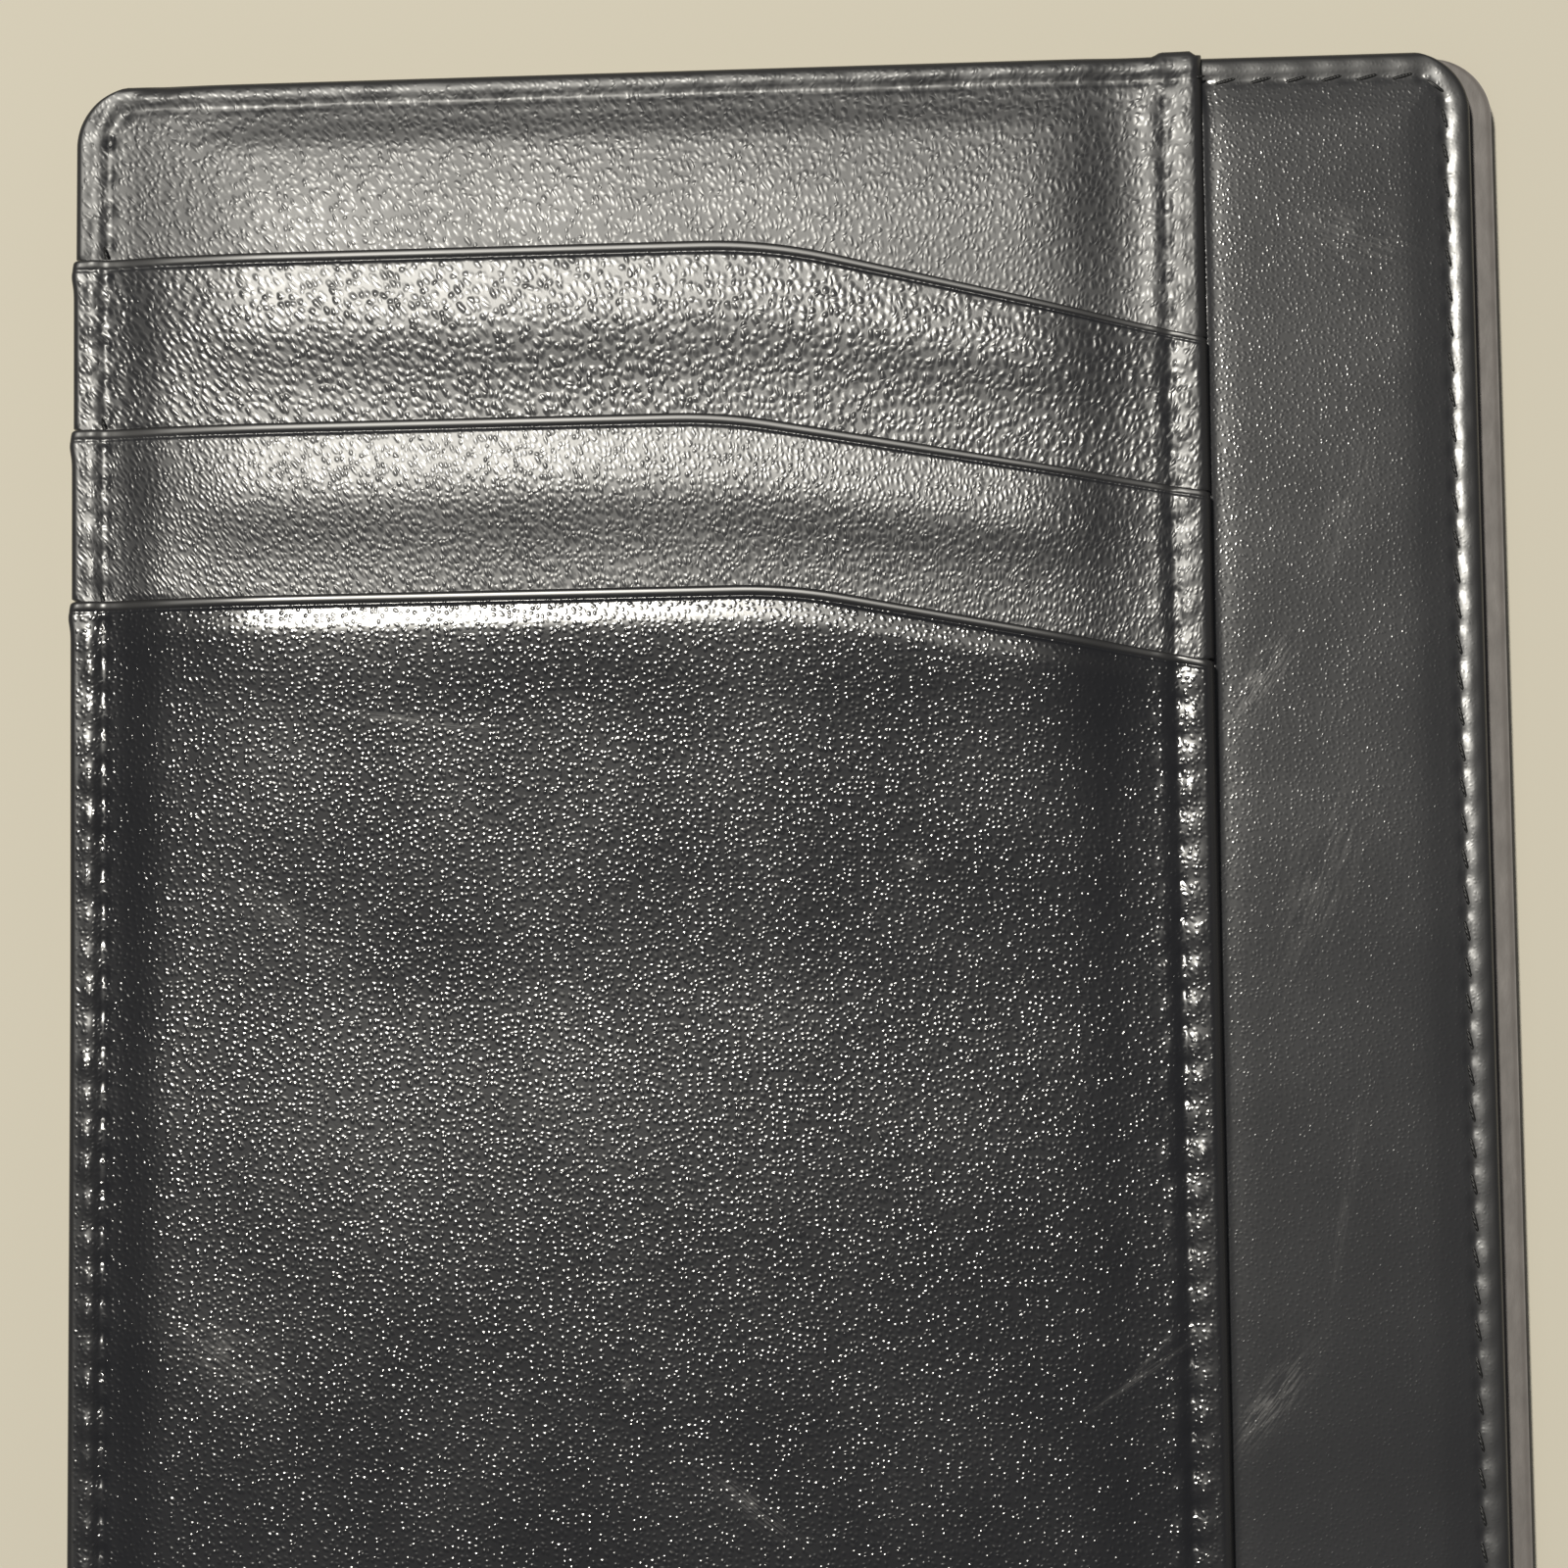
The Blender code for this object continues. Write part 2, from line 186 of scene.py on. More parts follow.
# %% How a seam shapes the leather
HOLE_DEPTH = 0.09 * MM
HOLE_WIDTH = 0.22 * MM
GROOVE_DEPTH = 0.035 * MM
GROOVE_WIDTH = 0.28 * MM
GROOVE_LENGTH = 0.62 * STITCH_PITCH
PUFF_REACH = 0.75 * MM
PUFF_WIDTH = 0.38 * MM
PUFF_LENGTH = 0.36 * STITCH_PITCH
SEAM_REACH = 2.6 * MM  # beyond it a stitch no longer moves the leather


def seam_relief(x, y, line, outer, inner, seed):
    """A groove with a dip at each hole, and puffs beside each stitch, given for both sides."""
    random = np.random.default_rng(seed)
    z = np.zeros_like(x)
    for hole in line["holes"]:
        near = np.nonzero((abs(x - hole[0]) < SEAM_REACH) & (abs(y - hole[1]) < SEAM_REACH))[0]
        square = (x[near] - hole[0]) ** 2 + (y[near] - hole[1]) ** 2
        z[near] -= HOLE_DEPTH * np.exp(-square / HOLE_WIDTH**2)
    for spot, way in zip(line["stitches"], line["ways"]):
        size = random.uniform(0.65, 1.35)
        slip = random.normal(0, 0.12) * MM
        far = random.uniform(0.85, 1.2)
        near = np.nonzero((abs(x - spot[0]) < SEAM_REACH) & (abs(y - spot[1]) < SEAM_REACH))[0]
        dx, dy = x[near] - spot[0], y[near] - spot[1]
        along = dx * way[0] + dy * way[1]
        across = dx * way[1] - dy * way[0]
        z[near] -= GROOVE_DEPTH * np.exp(-((along / GROOVE_LENGTH) ** 4) - (across / GROOVE_WIDTH) ** 2)
        height = np.where(across < 0, outer, inner) * size
        side = np.exp(-(((np.abs(across) - PUFF_REACH * far) / PUFF_WIDTH) ** 2))
        z[near] += height * side * np.exp(-(((along - slip) / PUFF_LENGTH) ** 2))
    return z


# %% [markdown]
# ## The leather sheets
#
# Each sheet starts as a grid with close rows where it has detail: along its edges, its crease and its
# seams. Extruding the grid gives it two faces, and moving the points gives both their shape. Columns
# keep their distance from the nearest side, so that they follow a rounded corner instead of being cut
# by it.

# %% Spacing of rows and columns
EDGE_STEPS = [0.0, 0.04, 0.11, 0.21, 0.33, 0.47]  # in mm, from a cut edge inwards


def spaced(start, end, fine_start, fine_end, fine, coarse):
    """Positions from start to end: close at both edges, fine beside them, coarse between."""
    head = [start + step * MM for step in EDGE_STEPS]
    tail = [end - step * MM for step in reversed(EDGE_STEPS)]
    inner_start = head[-1] + fine_start
    inner_end = tail[0] - fine_end
    first = np.linspace(head[-1], inner_start, max(2, round(fine_start / fine) + 1))[1:]
    middle_count = max(2, round((inner_end - inner_start) / coarse) + 1)
    middle = np.linspace(inner_start, inner_end, middle_count)[1:]
    last = np.linspace(inner_end, tail[0], max(2, round(fine_end / fine) + 1))[1:-1]
    return np.array(head + list(first) + list(middle) + list(last) + tail)


def smooth(value, low, high):
    """0 below low, 1 above high, and an even S between."""
    t = np.clip((value - low) / (high - low), 0.0, 1.0)
    return t * t * (3 - 2 * t)


def ridge(distance, centre, width):
    """1 on a line at the centre, falling to nothing beside it."""
    return np.exp(-(((distance - centre) / width) ** 2))


def waves(x, y, size, seed):
    """A slow unevenness of the leather, from a few crossing waves."""
    z = np.zeros_like(x)
    for k, turn in enumerate((0.3, 1.1, 1.9, 2.7, 0.8)):
        length = size * (0.7 + 0.23 * k)
        run = x * math.cos(turn + seed) + y * math.sin(turn + seed)
        z += np.sin(run * 2 * math.pi / length + 1.7 * k * seed)
    return z / 5


def corner_pull(distance, radius):
    """How far a quarter round falls back, at a distance from its end; 0 beyond its radius."""
    inside = np.clip(radius - distance, 0.0, radius)
    return radius - np.sqrt(np.maximum(0.0, radius**2 - inside**2))


def in_scene(name, data):
    """An object for a mesh, a lamp or a camera, put into the scene."""
    made = bpy.data.objects.new(name, data)
    bpy.context.scene.collection.objects.link(made)
    return made


def mesh_piece(name, bm):
    mesh = bpy.data.meshes.new(name)
    bm.to_mesh(mesh)
    bm.free()
    return in_scene(name, mesh)


SHARP_ANGLE = math.radians(55)


def sheet(name, columns, rows, outline, faces):
    """A closed sheet: outline moves the grid in plan, and faces gives its upper and lower heights."""
    bm = bmesh.new()
    bmesh.ops.create_grid(bm, x_segments=len(columns) - 1, y_segments=len(rows) - 1, size=0.5)
    raised = bmesh.ops.extrude_face_region(bm, geom=bm.faces[:])["geom"]
    bmesh.ops.translate(bm, verts=[v for v in raised if isinstance(v, bmesh.types.BMVert)], vec=(0, 0, 1))
    bmesh.ops.recalc_face_normals(bm, faces=bm.faces[:])
    piece = mesh_piece(name, bm)
    mesh = piece.data
    co = np.zeros(3 * len(mesh.vertices), np.float32)
    mesh.vertices.foreach_get("co", co)
    co = co.reshape(-1, 3).astype(float)
    column = np.rint((co[:, 0] + 0.5) * (len(columns) - 1)).astype(int)
    row = np.rint((co[:, 1] + 0.5) * (len(rows) - 1)).astype(int)
    X, Y = columns[column], rows[row]
    x, y = outline(X, Y)
    upper, lower, bare = faces(x, y, X, Y)
    co = np.stack([x, y, np.where(co[:, 2] > 0.5, upper, lower)], axis=1)
    mesh.vertices.foreach_set("co", co.astype(np.float32).ravel())
    bare_share = mesh.attributes.new("bare", "FLOAT", "POINT")
    bare_share.data.foreach_set("value", np.clip(bare, 0.0, 1.0).astype(np.float32))
    mesh.shade_smooth()
    mesh.set_sharp_from_angle(angle=SHARP_ANGLE)
    print(f"{name}: {len(mesh.polygons)} faces")
    return piece


# %% Cross-section of a cut, painted edge
FLATTENED = 0.25  # how far the grain is pressed flat between an edge and its seam


def bareness(edge):
    """1 on the painted edge, then pressed grain up to the seam, then 0."""
    painted = 1 - smooth(edge, 0.3 * MM, 0.5 * MM)
    pressed = FLATTENED * (1 - smooth(edge, 1.2 * MM, 2.0 * MM))
    return np.maximum(painted, pressed)


EDGE_ROUND = 0.34 * MM
WALL_ROUND = 0.55 * MM  # the cut edge beside the strip slants more
LIP_ROUND = 0.16 * MM
RIM_WIDTH = 0.3 * MM


def rounded_off(distance, radius=EDGE_ROUND):
    """How much lower the face is near a cut edge, as a quarter round."""
    return corner_pull(distance, radius)


# %% [markdown]
# ## The pocket pieces
#
# Between the seams a pocket stands up towards its mouth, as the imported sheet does. At the seams it is
# sewn flat, so it is thinner there and rises only half as far. Just below the mouth run a rolled lip
# and a creased line, and below them the leather is slightly full, which gives each pocket its broad
# highlight.

# %% Shape of a pocket
SEAM_THIN = 0.21 * MM
SEAM_RISE = 0.5
TAIL_INSET = 0.5 * MM
LIP_HEIGHT = 0.03 * MM
CREASE_AT = 0.60 * MM
CREASE_DEPTH = 0.09 * MM
LIP_WIDTH = 0.45 * MM
FULLNESS = [0.19 * MM, 0.17 * MM, 0.11 * MM]
FULL_AT = [4.0 * MM, 4.0 * MM, 2.1 * MM]
FULL_WIDTH = [2.7 * MM, 2.6 * MM, 1.0 * MM]  # on the side of the mouth
FULL_TAIL = [2.7 * MM, 2.6 * MM, 3.5 * MM]  # below the fullest line
BORDER_RIDGE = 0.04 * MM
LEFT_HOLLOW = 0.15 * MM
RIGHT_HOLLOW = 0.13 * MM
BEND_SPREAD = 2.5 * MM
NOTCH = 0.25 * MM  # the small round at each end of a mouth
NOTCH_BULGE = 0.12 * MM
WALL_GAP = 0.02 * MM  # between a side wall and the sheet below it
WAVINESS = [0.03 * MM, 0.025 * MM, 0.008 * MM]
RUBBED = [0.2, 0.2, 0.35]  # how far a card has polished each shoulder


def eased(value, low, high):
    """Like smooth, but with no sudden start in its slope, so a highlight fades in."""
    t = np.clip((value - low) / (high - low), 0.0, 1.0)
    return t**3 * (t * (6 * t - 15) + 10)


def freedom(X):
    """0 at the seams beside a pocket, 1 where the leather stands free."""
    return eased(X - LEFT, 1.2 * MM, 12 * MM) * eased(POCKET_RIGHT - X, 1.2 * MM, 11 * MM)


def sewn(X):
    """1 at the seams beside a pocket; the leather dives down to them over the last few millimetres."""
    return 1 - eased(X - LEFT, 1.4 * MM, 6.0 * MM) * eased(POCKET_RIGHT - X, 1.0 * MM, 5.0 * MM)


def soft_rise(run):
    """A bend spread over a few millimetres instead of a kink."""
    return 0.5 * (run + np.sqrt(run**2 + BEND_SPREAD**2))


def pocket_side(x, y, X):
    """The seams at both sides of the pockets: ridges outside them, puffs, and a hollow at each."""
    left, right = X - LEFT, POCKET_RIGHT - X
    top = BORDER_RIDGE * ridge(left, 1.05 * MM, 0.7 * MM)
    top = top + 2 * BORDER_RIDGE * ridge(right, 0.5 * MM, 0.8 * MM)
    top -= RIGHT_HOLLOW * ridge(right, 4.6 * MM, 1.9 * MM) + LEFT_HOLLOW * ridge(left, 1.9 * MM, 2.2 * MM)
    top += seam_relief(x, y, front_seam, 0.075 * MM, 0.0, 1)
    return top + seam_relief(x, y, pocket_seam, 0.06 * MM, 0.055 * MM, 2)


def edge_drop(X, outer):
    """The rounding of a pocket's cut edges, wider on its right-hand side."""
    return np.maximum(rounded_off(outer), rounded_off(POCKET_RIGHT - X, WALL_ROUND))


def pocket_faces(row, next_mouth):
    """The heights of one pocket; its side walls reach down to the strip as far as it can be seen."""

    def faces(x, y, X, Y):
        free = freedom(X)
        below_mouth = MOUTH_Y[row] - Y
        rise = soft_rise(y - RISE_FROM_Y[row]) * SLOPE
        width = np.where(below_mouth < FULL_AT[row], FULL_WIDTH[row], FULL_TAIL[row])
        full = FULLNESS[row] * free * ridge(below_mouth, FULL_AT[row], width)
        base = BASE_Z[row] + rise * (SEAM_RISE + (1 - SEAM_RISE) * free) + full
        thick = SHEET - SEAM_THIN * sewn(X)
        outer = np.minimum(X - LEFT, POCKET_RIGHT - X)
        if row == 2:
            outer = np.minimum(outer, y - BOTTOM)
        top = base + thick - edge_drop(X, outer) - rounded_off(below_mouth, LIP_ROUND)
        lip = 0.45 + 0.55 * free
        on_lip = below_mouth < LIP_WIDTH
        top -= np.where(on_lip, LIP_HEIGHT * ((below_mouth - LIP_WIDTH) / LIP_WIDTH) ** 2, 0.0)
        top -= CREASE_DEPTH * lip * ridge(below_mouth, CREASE_AT, 0.11 * MM)
        top += pocket_side(x, y, X)
        top += WAVINESS[row] * waves(x, y, 15 * MM, row + 1.0) * (0.3 + 0.7 * free)
        rim = (outer < RIM_WIDTH) & (y > next_mouth - mouth_drop(min(row + 1, 2), X))
        bare = np.maximum(bareness(outer), 1 - smooth(below_mouth, 0.42 * MM, 0.62 * MM))
        bare = np.maximum(bare, RUBBED[row] * ridge(below_mouth, 1.55 * MM, 0.45 * MM) * free)
        return top, np.where(rim, STRIP_Z + WALL_GAP, base), bare

    return faces


def pocket_outline(row, next_mouth, low_y):
    """The plan of one pocket: its rows follow the mouth, less and less towards low_y."""

    def outline(X, Y):
        t = (X - LEFT) / (POCKET_RIGHT - LEFT)
        follow = np.clip((Y - low_y) / (MOUTH_Y[row] - low_y), 0.0, 1.0)
        y = Y - mouth_drop(row, X) * follow
        tail = TAIL_INSET * (y < next_mouth - mouth_drop(min(row + 1, 2), X))
        pull = corner_pull(Y - BOTTOM, CORNER) if row == 2 else 0.0 * Y
        notch = corner_pull(MOUTH_Y[row] - Y, NOTCH)
        pull = pull + notch
        bulge = NOTCH_BULGE * ridge(MOUTH_Y[row] - Y, 0.9 * MM, 0.6 * MM)
        return X + (tail + pull - bulge) * (1 - t) - (tail + 0.5 * notch) * t, y

    return outline


# from the mouth downwards, in mm
LIP_STEPS = [0.0, 0.03, 0.08, 0.14, 0.21, 0.30, 0.40, 0.48, 0.55, 0.62, 0.69, 0.76, 0.85, 0.96, 1.1]


def pocket_rows(row, low):
    """Close rows for the lip and the crease, then a row every seventh of a stitch."""
    lip = MOUTH_Y[row] - np.array(LIP_STEPS) * MM
    body = np.linspace(low, lip[-1], round((lip[-1] - low) / (STITCH_PITCH / 7)) + 1)[:-1]
    if row == 2:
        foot = low + np.array(EDGE_STEPS) * MM
        body = np.concatenate([foot, body[body > foot[-1] + 0.1 * MM]])
    return np.concatenate([body, lip[::-1]])


pocket_columns = spaced(LEFT, POCKET_RIGHT, 2.9 * MM, 3.2 * MM, 0.2 * MM, 0.62 * MM)
sheets = {}
for row, name in enumerate(POCKETS):
    low = BOTTOM if row == 2 else TAIL_Y[row + 1]
    next_mouth = BOTTOM - MM if row == 2 else MOUTH_Y[row + 1]
    curve_ends = FLAT_BELOW_Y - 6 * MM if row == 2 else low
    sheets[name] = sheet(
        name + "_leather",
        pocket_columns,
        pocket_rows(row, low),
        pocket_outline(row, next_mouth, curve_ends),
        pocket_faces(row, next_mouth),
    )

# %% [markdown]
# ## The top band and the front leather
#
# The band above the upper pocket is the same kind of sheet. It lies flat on the lining and is sewn down
# along the top edge. The front leather is the base of the whole half: it shows as the plain strip.

# %% Top band
STUB_HEIGHT = 0.24 * MM  # how far the end of the pocket seam stands out past the top edge
BAND_FULLNESS = 0.20 * MM
BAND_FULL_AT = 8.0 * MM
BAND_FULL_WIDTH = 4.2 * MM


def band_outline(X, Y):
    t = (X - LEFT) / (POCKET_RIGHT - LEFT)
    tail = TAIL_INSET * (Y < MOUTH_Y[0] - mouth_drop(0, X))
    stub = smooth(X, POCKET_RIGHT - 2.9 * MM, POCKET_RIGHT - 2.3 * MM)
    stub = stub * smooth(POCKET_RIGHT - X, 0.3 * MM, 0.7 * MM)
    stub = STUB_HEIGHT * stub * smooth(Y, TOP - 1.0 * MM, TOP)
    return X + (corner_pull(TOP - Y, CORNER) + tail) * (1 - t) - tail * t, Y + stub


def band_faces(x, y, X, Y):
    free = freedom(X) * eased(TOP - Y, 1.0 * MM, 4.5 * MM)
    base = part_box("top_band")[0].z + 0.0 * x
    outer = np.minimum(np.minimum(X - LEFT, POCKET_RIGHT - X), TOP - Y)
    top = base + SHEET - SEAM_THIN * np.maximum(sewn(X), 1 - free) - edge_drop(X, outer)
    top += BAND_FULLNESS * freedom(X) * ridge(TOP - Y, BAND_FULL_AT, BAND_FULL_WIDTH)
    top += BORDER_RIDGE * ridge(TOP - Y, 0.7 * MM, 0.45 * MM)
    top += pocket_side(x, y, X)
    top += 0.02 * MM * waves(x, y, 16 * MM, 5.0) * free
    rim = (outer < RIM_WIDTH) & (y > MOUTH_Y[0] - mouth_drop(0, X))
    return top, np.where(rim, STRIP_Z + WALL_GAP, base), bareness(outer)


band_rows = spaced(TAIL_Y[0], TOP, 1.0 * MM, 3.0 * MM, 0.2 * MM, STITCH_PITCH / 8)
sheets["top_band"] = sheet("top_band_leather", pocket_columns, band_rows, band_outline, band_faces)

# %% Front leather with its strip
STRIP_PUFFS = 0.06 * MM
STRIP_RELIEF = 0.6  # its seam is pressed in less deeply than the pockets'
STRIP_FALL = 0.10 * MM  # it is thinner towards its seams
BORDER_BARE = 0.7


def half_outline(right):
    """The plan of a whole half, with its four rounded corners."""

    def outline(X, Y):
        t = (X - LEFT) / (right - LEFT)
        pull = corner_pull(TOP - Y, CORNER) + corner_pull(Y - BOTTOM, CORNER)
        return X + pull * (1 - t) - pull * t, Y

    return outline


def strip_faces(x, y, X, Y):
    edge = np.minimum(np.minimum(X - LEFT, FRONT_RIGHT - X), np.minimum(TOP - Y, Y - BOTTOM))
    on_strip = smooth(X - POCKET_RIGHT, 0.0, 0.4 * MM)
    under_pockets = smooth(POCKET_RIGHT - X, -0.1 * MM, 0.3 * MM)
    top = STRIP_Z - rounded_off(edge) - 0.05 * MM * under_pockets
    top += on_strip * STRIP_RELIEF * seam_relief(x, y, front_seam, STRIP_PUFFS, 0.0, 3)
    top += on_strip * 0.4 * BORDER_RIDGE * ridge(edge, 0.75 * MM, 0.45 * MM)
    top += on_strip * 0.025 * MM * waves(x, y, 18 * MM, 2.0)
    top -= on_strip * STRIP_FALL * (1 - smooth(edge, 1.0 * MM, 4.0 * MM))
    top -= 0.03 * MM * on_strip * ridge(X, POCKET_RIGHT + 0.2 * MM, 0.8 * MM)
    joined = np.minimum(np.minimum(X - LEFT, TOP - Y), Y - BOTTOM) < RIM_WIDTH
    open_side = FRONT_RIGHT - X < RIM_WIDTH
    under = np.full_like(x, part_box("front_leather")[0].z)
    under = np.where(open_side, FRONT_UNDER_Z, under)
    bare = np.maximum(bareness(edge), BORDER_BARE * (1 - smooth(edge, 1.2 * MM, 1.5 * MM)))
    return top, np.where(joined, REAR_TOP_Z + WALL_GAP, under), bare


strip_columns = np.concatenate([
    spaced(LEFT, POCKET_RIGHT, 0.5 * MM, 0.5 * MM, 0.25 * MM, 3.0 * MM)[:-6],
    spaced(POCKET_RIGHT, FRONT_RIGHT, 0.6 * MM, 3.0 * MM, 0.2 * MM, 0.5 * MM),
])
half_rows = spaced(BOTTOM, TOP, 3.2 * MM, 2.6 * MM, 0.2 * MM, STITCH_PITCH / 7)
front_plan = half_outline(FRONT_RIGHT)
sheets["front_leather"] = sheet("front_base_leather", strip_columns, half_rows, front_plan, strip_faces)

# %% [markdown]
# ## The rear leather
#
# The back of the card holder is one plain panel, and it is seen from below: its outer face points down,
# so the relief of its seam is turned over. Its rim reaches up around the stiffener and the lining.

# %% Rear leather
OPEN_RIM = REAR_RIGHT - FRONT_RIGHT + 0.3 * MM  # it shows past the front half, and a little under it
REAR_PUFFS = 0.07 * MM
REAR_CLEAR = 0.12 * MM  # keeps the waves of the back above the floor
REAR_FALL = 0.12 * MM  # it is thinner towards its seams, like the strip


def rear_faces(x, y, X, Y):
    edge = np.minimum(np.minimum(X - LEFT, REAR_RIGHT - X), np.minimum(TOP - Y, Y - BOTTOM))
    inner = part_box("rear_leather")[1].z
    outer = rounded_off(edge) - seam_relief(x, y, rear_seam, REAR_PUFFS, 0.01 * MM, 4)
    clear = REAR_CLEAR + 0.04 * MM * waves(x, y, 20 * MM, 3.0)
    outer += clear - BORDER_RIDGE * ridge(edge, 0.8 * MM, 0.5 * MM)
    outer += REAR_FALL * (1 - smooth(edge, 1.2 * MM, 4.0 * MM))
    rim = (edge < RIM_WIDTH) | (REAR_RIGHT - X < OPEN_RIM)
    raised = REAR_TOP_Z - 0.5 * rounded_off(np.maximum(edge, 0.1 * MM))
    return np.where(rim, raised, inner), np.maximum(outer, 0.0), bareness(edge)


rear_columns = spaced(LEFT, REAR_RIGHT, 3.2 * MM, 2.8 * MM, 0.22 * MM, 0.9 * MM)
rear_rows = spaced(BOTTOM, TOP, 3.2 * MM, 2.6 * MM, 0.2 * MM, STITCH_PITCH / 6)
rear_plan = half_outline(REAR_RIGHT)
sheets["rear_leather"] = sheet("rear_panel_leather", rear_columns, rear_rows, rear_plan, rear_faces)

# %% [markdown]
# ## Stitches
#
# One stitch is a short, arched length of thread whose ends dive into their holes. It starts as a sphere
# with few faces, drawn out and bent down at both ends. Real machine stitches lie at a small slant to
# the seam. Each stitch is set on the leather below it by a ray cast straight through the finished
# sheets.

# %% Stitch shape and rows of stitches
THREAD_RADIUS = 0.13 * MM
STITCH_SLANT = math.radians(14)
STITCH_LENGTH = 0.92 * STITCH_PITCH
STITCH_BEND = 0.16 * MM
POCKET_SINK = 0.16 * MM
STRIP_SINK = 0.05 * MM


def height_finder(pieces, upwards=True):
    """A function that gives the height of the outermost face over a place."""
    dg = bpy.context.evaluated_depsgraph_get()
    trees = [BVHTree.FromObject(piece, dg) for piece in pieces]
    start, way = (20 * MM, -1) if upwards else (-20 * MM, 1)

    def height(x, y):
        hits = [tree.ray_cast(Vector((x, y, start)), Vector((0, 0, way)))[0] for tree in trees]
        levels = [hit.z for hit in hits if hit is not None]
        return (max(levels) if upwards else min(levels)) if levels else None

    return height


def add_stitch(bm, x, y, z, way, down):
    """One stitch between two holes; down is -1 for a seam that is seen from below."""
    turn = math.atan2(way[1], way[0]) + STITCH_SLANT
    matrix = Matrix.Translation((x, y, z)) @ Matrix.Rotation(turn, 4, "Z")
    made = bmesh.ops.create_uvsphere(bm, u_segments=8, v_segments=6, radius=1.0)["verts"]
    for vert in made:
        across, over, along = vert.co
        height = over * THREAD_RADIUS - STITCH_BEND * along**4
        vert.co = matrix @ Vector((along * STITCH_LENGTH / 2, across * THREAD_RADIUS, height * down))


def stitch_row(name, line, height, down=1):
    """Stitches pulled deep into the soft pockets, and lying higher on the plain strip and on the back."""
    bm = bmesh.new()
    for (x, y), way in zip(line["stitches"], line["ways"]):
        z = height(x, y)
        if z is not None:
            sink = POCKET_SINK if down > 0 and x < POCKET_RIGHT else STRIP_SINK
            add_stitch(bm, x, y, z - sink * down, way, down)
    bmesh.ops.recalc_face_normals(bm, faces=bm.faces[:])
    piece = mesh_piece(name, bm)
    piece.data.shade_smooth()
    print(f"{name}: {len(piece.data.polygons)} faces")
    return piece


front_pieces = [sheets[name] for name in (*POCKETS, "top_band", "front_leather")]
front_height = height_finder(front_pieces)
rear_height = height_finder([sheets["rear_leather"]], upwards=False)
front_stitches = stitch_row("front_edge_stitches", front_seam, front_height)
pocket_stitches = stitch_row("pocket_side_stitches", pocket_seam, front_height)
rear_stitches = stitch_row("rear_edge_stitches", rear_seam, rear_height, down=-1)

# %% [markdown]
# ## Grain
#
# Pebbled leather is a pattern of small polished bumps on a level, duller ground. The distance to the
# middle of a Voronoi cell, run through a smooth step, gives one bump to each cell, and the cell's
# random colour makes most bumps low and a few tall: only the tall ones still catch the lamp far from
# the highlight. Reading only X and Y keeps the pattern still when a sheet bends up.

# %% Node helpers


def add_node(tree, kind, **settings):
    node = tree.nodes.new(kind)
    for key, value in settings.items():
        setattr(node, key, value)
    return node


def link(tree, source, target):
    tree.links.new(source, target)


def math_node(tree, operation, a, b=None, clamp=False):
    """A Math node; a and b are sockets or numbers."""
    node = add_node(tree, "ShaderNodeMath", operation=operation, use_clamp=clamp)
    for index, value in enumerate((a, b)):
        if isinstance(value, (int, float)):
            node.inputs[index].default_value = value
        elif value is not None:
            link(tree, value, node.inputs[index])
    return node.outputs[0]


def map_range(tree, value, low, high, to_low, to_high, **settings):
    node = add_node(tree, "ShaderNodeMapRange", clamp=True, **settings)
    link(tree, value, node.inputs["Value"])
    for socket, number in (("From Min", low), ("From Max", high), ("To Min", to_low), ("To Max", to_high)):
        node.inputs[socket].default_value = number
    return node.outputs["Result"]


def new_group(name, inputs, outputs):
    group = bpy.data.node_groups.new(name, "ShaderNodeTree")
    for label, value in inputs:
        socket = group.interface.new_socket(label, in_out="INPUT", socket_type="NodeSocketFloat")
        socket.default_value = value
    for label in outputs:
        group.interface.new_socket(label, in_out="OUTPUT", socket_type="NodeSocketFloat")
    return group, add_node(group, "NodeGroupInput"), add_node(group, "NodeGroupOutput")


def noise(tree, place, scale, detail, **settings):
    node = add_node(tree, "ShaderNodeTexNoise", **settings)
    link(tree, place, node.inputs["Vector"])
    node.inputs["Scale"].default_value = scale
    node.inputs["Detail"].default_value = detail
    return node.outputs["Fac"]


def object_place(tree):
    """The place of a point on its own object: the vector, then X, Y and Z."""
    place = add_node(tree, "ShaderNodeTexCoord").outputs["Object"]
    parts = add_node(tree, "ShaderNodeSeparateXYZ")
    link(tree, place, parts.inputs[0])
    return place, *parts.outputs


def joined(tree, *parts):
    """One vector from two or three numbers."""
    node = add_node(tree, "ShaderNodeCombineXYZ")
    for socket, part in zip(node.inputs, parts):
        link(tree, part, socket)
    return node.outputs[0]


def blended(tree, share, first, second):
    """A mix of two colours; each is a socket or three numbers."""
    node = add_node(tree, "ShaderNodeMix", data_type="RGBA")
    link(tree, share, node.inputs["Factor"])
    for label, colour in (("A", first), ("B", second)):
        if isinstance(colour, tuple):
            node.inputs[label].default_value = (*colour, 1.0)
        else:
            link(tree, colour, node.inputs[label])
    return node.outputs["Result"]


# %% Pebble grain group
WOBBLE = 0.0004  # how far the borders of the pebbles are shaken out of line
LOW_BUMP = 0.48
TALL_BUMP = 0.85


